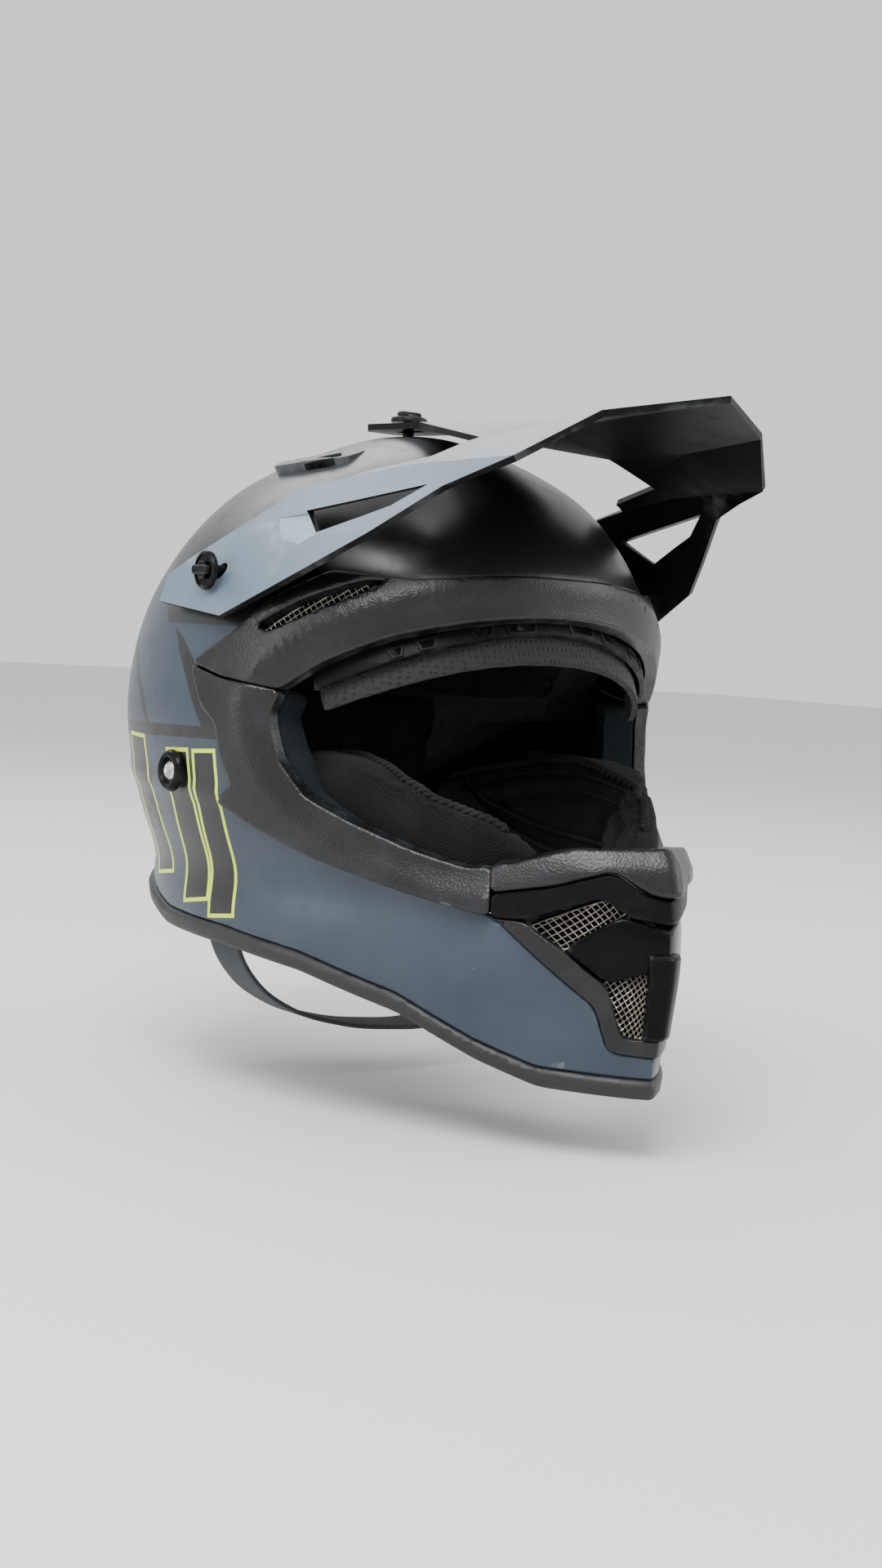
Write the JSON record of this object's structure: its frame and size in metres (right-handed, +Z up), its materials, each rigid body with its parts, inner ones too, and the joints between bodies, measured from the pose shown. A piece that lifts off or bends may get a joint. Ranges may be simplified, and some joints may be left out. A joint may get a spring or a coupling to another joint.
{
  "type": "motocross helmet",
  "caption": "Full-face off-road helmet with a long chin bar, open eyeport with trims, vented mouthpiece, tilting peak, padded liner and a swinging chin strap closed by rings.",
  "frame": {"origin": "centre of the wearer's head, level with the ears, inside the head cavity", "axes": "+Z up the upright head, the face looks along -Y, the wearer's left is +X"},
  "size_m": [0.2412, 0.3411, 0.2856],
  "materials": {
    "painted_shell": "satin two-tone paint over a moulded shell",
    "painted_plastic": "matt paint on moulded plastic",
    "edge_rubber": "smooth black rubber",
    "textured_plastic": "grained moulded plastic",
    "gloss_plastic": "polished black",
    "wire_mesh": "woven wire with black paint worn off",
    "foam": "beaded rigid foam painted black",
    "knit_fabric": "padded knit",
    "webbing": "woven strap",
    "bare_steel": "plated steel"
  },
  "bodies": {
    "root": {"outer_shell": "painted_shell", "rim_trim": "edge_rubber", "brow_trim": "textured_plastic", "eyeport_trim_left": "textured_plastic", "brow_vent_mesh_left": "wire_mesh", "eyeport_trim_right": "textured_plastic", "brow_vent_mesh_right": "wire_mesh", "nose_guard": "textured_plastic", "chin_vent_cover": "textured_plastic", "chin_vent_ridge": "gloss_plastic", "chin_vent_frame": "textured_plastic", "chin_vent_blade_left": "gloss_plastic", "chin_mesh_upper_left": "wire_mesh", "chin_mesh_lower_left": "wire_mesh", "chin_vent_blade_right": "gloss_plastic", "chin_mesh_upper_right": "wire_mesh", "chin_mesh_lower_right": "wire_mesh", "impact_liner": "foam", "crown_pad": "knit_fabric", "rear_pad": "knit_fabric", "brow_pad": "knit_fabric", "brow_air_port": "textured_plastic", "cheek_pad_left": "knit_fabric", "cheek_pad_right": "knit_fabric", "chin_foam": "foam", "chin_pad": "knit_fabric", "neck_roll": "knit_fabric", "peak_nut_top": "bare_steel", "peak_nut_left": "bare_steel", "peak_nut_right": "bare_steel", "crown_vent_left": "painted_plastic", "crown_vent_right": "painted_plastic", "strap_rivet_left": "bare_steel", "rivet_ring_left": "textured_plastic", "strap_rivet_right": "bare_steel", "rivet_ring_right": "textured_plastic"},
    "peak": {"peak": "painted_plastic"},
    "screw_left": {"peak_screw_left": "gloss_plastic"},
    "screw_right": {"peak_screw_right": "gloss_plastic"},
    "screw_top": {"peak_screw_top": "gloss_plastic"},
    "strap": {"strap_short": "webbing", "strap_long": "webbing", "d_ring_inner": "bare_steel", "d_ring_outer": "bare_steel"}
  },
  "joints": [
    {"name": "peak_tilt", "type": "hinge", "parent": "root", "child": "peak", "pos_m": [0, -0.028, 0.095], "axis": [-1, 0, 0], "range_deg": [-2, 4]},
    {"name": "screw_left_turn", "type": "hinge", "parent": "root", "child": "screw_left", "pos_m": [0.116, -0.028, 0.095], "axis": [1, 0, 0], "continuous": true},
    {"name": "screw_right_turn", "type": "hinge", "parent": "root", "child": "screw_right", "pos_m": [-0.116, -0.028, 0.095], "axis": [-1, 0, 0], "continuous": true},
    {"name": "screw_top_turn", "type": "hinge", "parent": "root", "child": "screw_top", "pos_m": [0, -0.007, 0.171], "axis": [0, 0, 1], "continuous": true},
    {"name": "strap_swing", "type": "hinge", "parent": "root", "child": "strap", "pos_m": [0, -0.008, 0.008], "axis": [1, 0, 0], "range_deg": [-15, 15]}
  ]
}
